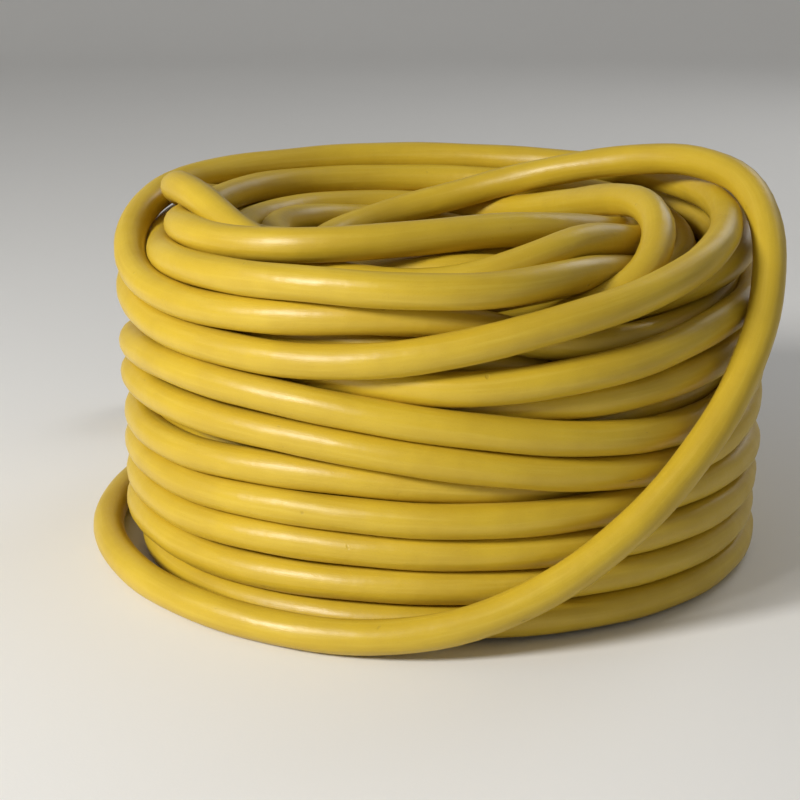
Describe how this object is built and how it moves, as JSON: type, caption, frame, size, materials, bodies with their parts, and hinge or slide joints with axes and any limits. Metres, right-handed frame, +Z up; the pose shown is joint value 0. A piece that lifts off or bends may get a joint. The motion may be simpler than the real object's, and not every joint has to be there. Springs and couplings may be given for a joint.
{
  "type": "extension cord",
  "caption": "Heavy outdoor extension cord with a thick yellow jacket, wound in a round coil that lies flat, with a moulded grounding plug and a lighted connector",
  "frame": {"origin": "centre of the whole footprint, on the surface the cord lies on", "axes": "+Z up out of the coil's open end, +X the way the plug's blades point, +Y from the coil towards the plug and connector behind it"},
  "size_m": [0.236, 0.2716, 0.1334],
  "materials": {
    "jacket": "satin yellow thermoplastic rubber jacket",
    "overmould": "matt yellow moulded rubber",
    "carrier": "matt black hard plastic",
    "brass": "bright rolled brass",
    "copper": "bare bunched copper",
    "steel": "tinned steel wire",
    "wire_black": "smooth black insulation",
    "wire_white": "smooth white insulation",
    "wire_green": "smooth green insulation",
    "lens": "clear amber lens",
    "lamp_glass": "clear neon lamp envelope",
    "resistor": "tan resistor body"
  },
  "bodies": {
    "root": {"connector_body": "overmould", "connector_contact_carrier": "carrier", "connector_ground_contact": "brass", "connector_ground_copper": "copper", "connector_ground_wire": "wire_green", "connector_hot_contact": "brass", "connector_hot_copper": "copper", "connector_hot_wire": "wire_black", "connector_jacket_end": "jacket", "connector_neutral_contact": "brass", "connector_neutral_copper": "copper", "connector_neutral_wire": "wire_white", "connector_strain_relief": "overmould", "cord_coil": "jacket", "cord_connector_tail": "jacket", "cord_plug_tail": "jacket", "indicator_lamp": "lamp_glass", "indicator_lamp_lead": "steel", "indicator_lens": "lens", "indicator_middle_lead": "steel", "indicator_resistor": "resistor", "indicator_resistor_lead": "steel", "plug_blade_carrier": "carrier", "plug_body": "overmould", "plug_ground_copper": "copper", "plug_ground_pin": "brass", "plug_ground_wire": "wire_green", "plug_hot_blade": "brass", "plug_hot_copper": "copper", "plug_hot_wire": "wire_black", "plug_jacket_end": "jacket", "plug_neutral_blade": "brass", "plug_neutral_copper": "copper", "plug_neutral_wire": "wire_white", "plug_strain_relief": "overmould"}
  },
  "joints": []
}
